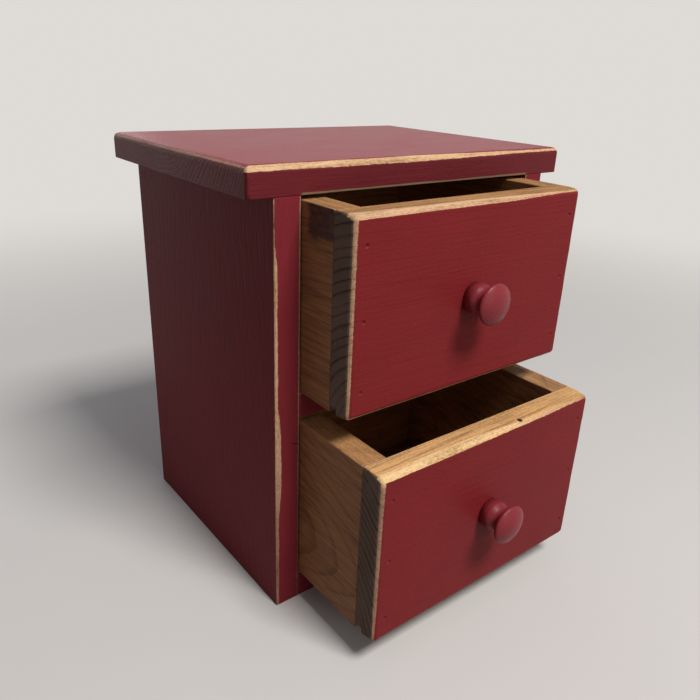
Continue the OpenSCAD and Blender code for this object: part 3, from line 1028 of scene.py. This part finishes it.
def knob_outline():
    """Radii and distances out of a knob's four arcs, from its foot to its crown"""
    k = sizes()
    rim = (k.knob / 2 - k.rim_round, k.rim_out)
    cove_x = k.neck / 2 + k.cove
    cove = (cove_x, rim[1] - math.sqrt((k.cove + k.rim_round) ** 2 - (cove_x - rim[0]) ** 2))
    belly_x = k.belly / 2 - k.belly_round
    belly_rise = math.sqrt((k.cove + k.belly_round) ** 2 - (cove_x - belly_x) ** 2)
    belly = (belly_x, cove[1] - belly_rise)
    dome_h = k.knob_long - k.rim_out
    dome_r = (rim[0] ** 2 + dome_h ** 2 - k.rim_round ** 2) / (2 * (dome_h - k.rim_round))
    dome = (0.0, k.knob_long - dome_r)
    belly_end = towards(belly, cove)
    cove_end = towards(cove, rim)
    rim_end = towards(dome, rim)
    points = [(0.0, 0.0), (k.foot / 2, 0.0)]
    points += arc(belly, k.belly_round, 0, belly_end)
    points += arc(cove, k.cove, math.pi + belly_end, cove_end)[1:]
    points += arc(rim, k.rim_round, cove_end - math.pi, rim_end)[1:]
    points += arc(dome, dome_r, rim_end, math.pi / 2)[1:]
    return points


def knob_recipe(drawer, seed):
    """Paint on turned wood, brushed round the knob"""
    recipe = Recipe(f"paint {drawer} knob", specular=0.2)
    low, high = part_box(f"{drawer}_knob")
    place = recipe.millimetres((low + high) / 2 / MM)
    x, y, z = recipe.split(place)
    round_the_knob = recipe.join(((x * x + z * z).root(), y, 0.0))
    turned = recipe.cloud(round_the_knob, (0.9, 0.7, 1), seed)
    blotch = recipe.cloud(place, (9, 9, 9), seed + 1)
    peel = recipe.cloud(place, (1.5, 1.5, 1.5), seed + 2)
    pimple = recipe.cloud(place, (0.9, 0.9, 0.9), seed + 4, 1.0).step(0.75, 1.1)
    tone = 1.08 + blotch * 0.05 + turned * 0.02
    colour = recipe.scale_colour(finish().case_paint, tone)
    relief = turned * 0.3 + peel * 0.45 + pimple * 0.9
    recipe.surface(colour, 0.39 + blotch * 0.03 + peel * 0.03, relief, depth=0.16 * MM)
    return recipe.material


def finish_knobs():
    for drawer, seed in zip(DRAWERS, (111, 117)):
        low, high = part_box(f"{drawer}_knob")
        foot = Vector((0, high.y, (low.z + high.z) / 2))
        points = [foot + Vector((radius, -out, 0)) for radius, out in knob_outline()]
        bm = turned_mesh(points, Y, steps=72, merge=0.005 * MM)
        seat(f"{drawer}_turned_knob", bm, knob_recipe(drawer, seed), f"{drawer}_drawer",
             "painted_pine", f"{drawer}_knob")


def finish_fastenings():
    """Dull drawn steel with fine scratches and a trace of rust"""
    recipe = Recipe("drawn steel")
    place = recipe.millimetres()
    scratch = recipe.cloud(place, (0.35, 0.35, 2.5), 5, 3.0, 0.6)
    rust = recipe.cloud(place, (3, 3, 3), 6, 3.0, 0.6).step(0.4, 1.2)
    steel = recipe.scale_colour(finish().steel, 1.0 + scratch * 0.08)
    colour = recipe.mix(rust * 0.5, steel, linear(112, 74, 50))
    recipe.surface(colour, 0.4 + scratch * 0.07 + rust * 0.25, scratch, depth=0.02 * MM)
    recipe.set("Metallic", (1 - rust * 0.6).held())
    for node in sorted(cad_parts):
        if node.endswith(("_nails", "_brads", "_screw")):
            dress(node, recipe.material)


def sweep_mesh(radius):
    """A round floor that curves up into a wall all round"""
    bend, height = 0.8, 2.2
    curve = arc((radius - bend, bend), bend, -math.pi / 2, 0, steps=12)
    points = [Vector((out, 0, up)) for out, up in [(0, 0), *curve, (radius, height)]]
    bm = turned_mesh(points, Z, steps=96, merge=0.01 * MM)
    for face in bm.faces:
        face.smooth = True
    return bm


def soft_lamp(name, place, aim, size, power):
    lamp = bpy.data.lights.new(name, "AREA")
    lamp.shape = "RECTANGLE"
    lamp.size, lamp.size_y = size
    lamp.energy = power
    holder = new_object(name, lamp)
    holder.location = place
    direction = Vector(aim) - Vector(place)
    holder.rotation_euler = direction.to_track_quat("-Z", "Y").to_euler()


def set_floor():
    """A pale floor that takes the shadow and fades into an even backdrop"""
    stage = bpy.context.scene.chest_stage
    recipe = Recipe("pale floor", specular=0.2)
    coords = recipe.add("ShaderNodeTexCoord", out="Object")
    mottle = recipe.cloud(coords, (0.05, 0.05, 0.05), 2)
    pale = recipe.scale_colour(stage.floor, 1.0 + mottle * 0.006)
    camera, glossy, glass = (
        recipe.add("ShaderNodeLightPath", out=f"Is {kind} Ray")
        for kind in ("Camera", "Glossy", "Transmission")
    )
    seen = camera.high(glossy).high(glass)
    recipe.set("Base Color", recipe.mix(seen, dimmed(stage.floor, 0.45), pale))
    recipe.set("Roughness", 0.75)
    x, y = recipe.split(coords)[:2]
    shadow_end, even_from = 0.35, 1.5
    far = (x * x + y * y).root().step(shadow_end, even_from)
    recipe.glow_mix(seen * far, linear(222, 219, 214))
    floor = mesh_object("pale_sweep", sweep_mesh(stage.sweep), recipe.material)


def set_light():
    """Cool air all round and four soft lamps, in metres and watts"""
    world = bpy.data.worlds.new("studio air")
    world.use_nodes = True
    background = world.node_tree.nodes["Background"]
    background.inputs["Color"].default_value = (0.88, 0.94, 1.16, 1)
    background.inputs["Strength"].default_value = 0.22
    bpy.context.scene.world = world
    aim = (0, -0.05, 0.16)
    soft_lamp("key lamp", (0.14, -1.26, 1.93), aim, size=(0.66, 0.55), power=45)
    soft_lamp("fill lamp", (-0.05, -2.2, 0.7), aim, size=(0.8, 0.9), power=6)
    soft_lamp("glare lamp", (1.25, 1.55, 0.95), aim, size=(1.3, 0.7), power=1.6)
    soft_lamp("back lamp", (0.1, 2.3, 0.7), aim, size=(1.2, 0.9), power=10)


def set_camera():
    """Camera of the photo: its place, and the axes that it looks along"""
    place = (-0.3318, -0.4412, 0.3745)
    heading, dip, roll = (math.radians(turn) for turn in (38.541, 22.638, -2.266))
    forward = Vector((
        math.sin(heading) * math.cos(dip), math.cos(heading) * math.cos(dip), -math.sin(dip),
    ))
    right = Matrix.Rotation(roll, 3, forward) @ forward.cross(unit(Z)).normalized()
    up = right.cross(forward)
    data = bpy.data.cameras.new("photo camera")
    data.sensor_width = 36
    data.lens = bpy.context.scene.chest_stage.lens
    data.clip_start, data.clip_end = 0.01, 50
    camera = new_object("photo camera", data)
    axes = Matrix((right, up, -forward)).transposed()
    camera.matrix_world = Matrix.Translation(place) @ axes.to_4x4()
    bpy.context.scene.camera = camera


class CHEST_OT_stage(bpy.types.Operator):
    """Set the floor, the backdrop, the lamps and the camera"""

    bl_idname = "chest.stage"
    bl_label = "Stage"

    def execute(self, context):
        set_floor()
        set_light()
        set_camera()
        return {"FINISHED"}


class CHEST_OT_case_sides(bpy.types.Operator):
    """Cut and paint the two side boards of the case"""

    bl_idname = "chest.case_sides"
    bl_label = "Case sides"

    def execute(self, context):
        finish_case_sides()
        return {"FINISHED"}


class CHEST_OT_case_top(bpy.types.Operator):
    """Cut, round and paint the top board"""

    bl_idname = "chest.case_top"
    bl_label = "Top"

    def execute(self, context):
        finish_case_top()
        return {"FINISHED"}


class CHEST_OT_shelves(bpy.types.Operator):
    """Cut and paint the two boards across the case"""

    bl_idname = "chest.shelves"
    bl_label = "Divider and bottom"

    def execute(self, context):
        finish_shelves()
        return {"FINISHED"}


class CHEST_OT_case_back(bpy.types.Operator):
    """Paint the back panel"""

    bl_idname = "chest.case_back"
    bl_label = "Back panel"

    def execute(self, context):
        finish_case_back()
        return {"FINISHED"}


class CHEST_OT_fronts(bpy.types.Operator):
    """Cut, round, dent and paint the two front boards"""

    bl_idname = "chest.fronts"
    bl_label = "Drawer fronts"

    def execute(self, context):
        finish_drawer_fronts()
        return {"FINISHED"}


class CHEST_OT_drawer_sides(bpy.types.Operator):
    """Cut and stain the four side boards of the drawers"""

    bl_idname = "chest.drawer_sides"
    bl_label = "Drawer sides"

    def execute(self, context):
        finish_drawer_sides()
        return {"FINISHED"}


class CHEST_OT_drawer_backs(bpy.types.Operator):
    """Cut and stain the two back boards of the drawers"""

    bl_idname = "chest.drawer_backs"
    bl_label = "Drawer backs"

    def execute(self, context):
        finish_drawer_backs()
        return {"FINISHED"}


class CHEST_OT_drawer_bottoms(bpy.types.Operator):
    """Finish the plywood bottoms of the drawers"""

    bl_idname = "chest.drawer_bottoms"
    bl_label = "Drawer bottoms"

    def execute(self, context):
        finish_drawer_bottoms()
        return {"FINISHED"}


class CHEST_OT_knobs(bpy.types.Operator):
    """Turn and paint the two knobs"""

    bl_idname = "chest.knobs"
    bl_label = "Knobs"

    def execute(self, context):
        finish_knobs()
        return {"FINISHED"}


class CHEST_OT_fastenings(bpy.types.Operator):
    """Finish the steel of the nails, brads and screws"""

    bl_idname = "chest.fastenings"
    bl_label = "Fastenings"

    def execute(self, context):
        finish_fastenings()
        return {"FINISHED"}


OPERATORS = (
    CHEST_OT_stage,
    CHEST_OT_case_sides,
    CHEST_OT_case_top,
    CHEST_OT_shelves,
    CHEST_OT_case_back,
    CHEST_OT_fronts,
    CHEST_OT_drawer_sides,
    CHEST_OT_drawer_backs,
    CHEST_OT_drawer_bottoms,
    CHEST_OT_knobs,
    CHEST_OT_fastenings,
)


class CHEST_PT_panel(bpy.types.Panel):
    """Sidebar panel that lists the pieces and their settings"""

    bl_label = "Two-drawer chest"
    bl_idname = "CHEST_PT_panel"
    bl_space_type = "VIEW_3D"
    bl_region_type = "UI"
    bl_category = "Chest"

    def draw(self, context):
        for group in ("chest_finish", "chest_sizes", "chest_stage"):
            settings = getattr(context.scene, group)
            box = self.layout.box()
            for name in settings.bl_rna.properties.keys():
                if name not in ("rna_type", "name"):
                    box.prop(settings, name)
        for operator in OPERATORS:
            self.layout.operator(operator.bl_idname)


SETTINGS = {
    "chest_finish": ChestFinish, "chest_sizes": ChestSizes, "chest_stage": ChestStage,
}


def register():
    for group, kind in SETTINGS.items():
        bpy.utils.register_class(kind)
        setattr(bpy.types.Scene, group, bpy.props.PointerProperty(type=kind))
    for operator in OPERATORS:
        bpy.utils.register_class(operator)
    bpy.utils.register_class(CHEST_PT_panel)


def unregister():
    bpy.utils.unregister_class(CHEST_PT_panel)
    for operator in reversed(OPERATORS):
        bpy.utils.unregister_class(operator)
    for group, kind in SETTINGS.items():
        delattr(bpy.types.Scene, group)
        bpy.utils.unregister_class(kind)


def main():
    register()
    bpy.context.scene.view_settings.view_transform = "Standard"
    for operator in OPERATORS:
        getattr(bpy.ops.chest, operator.bl_idname.split(".")[1])()


if __name__ == "__main__":
    main()
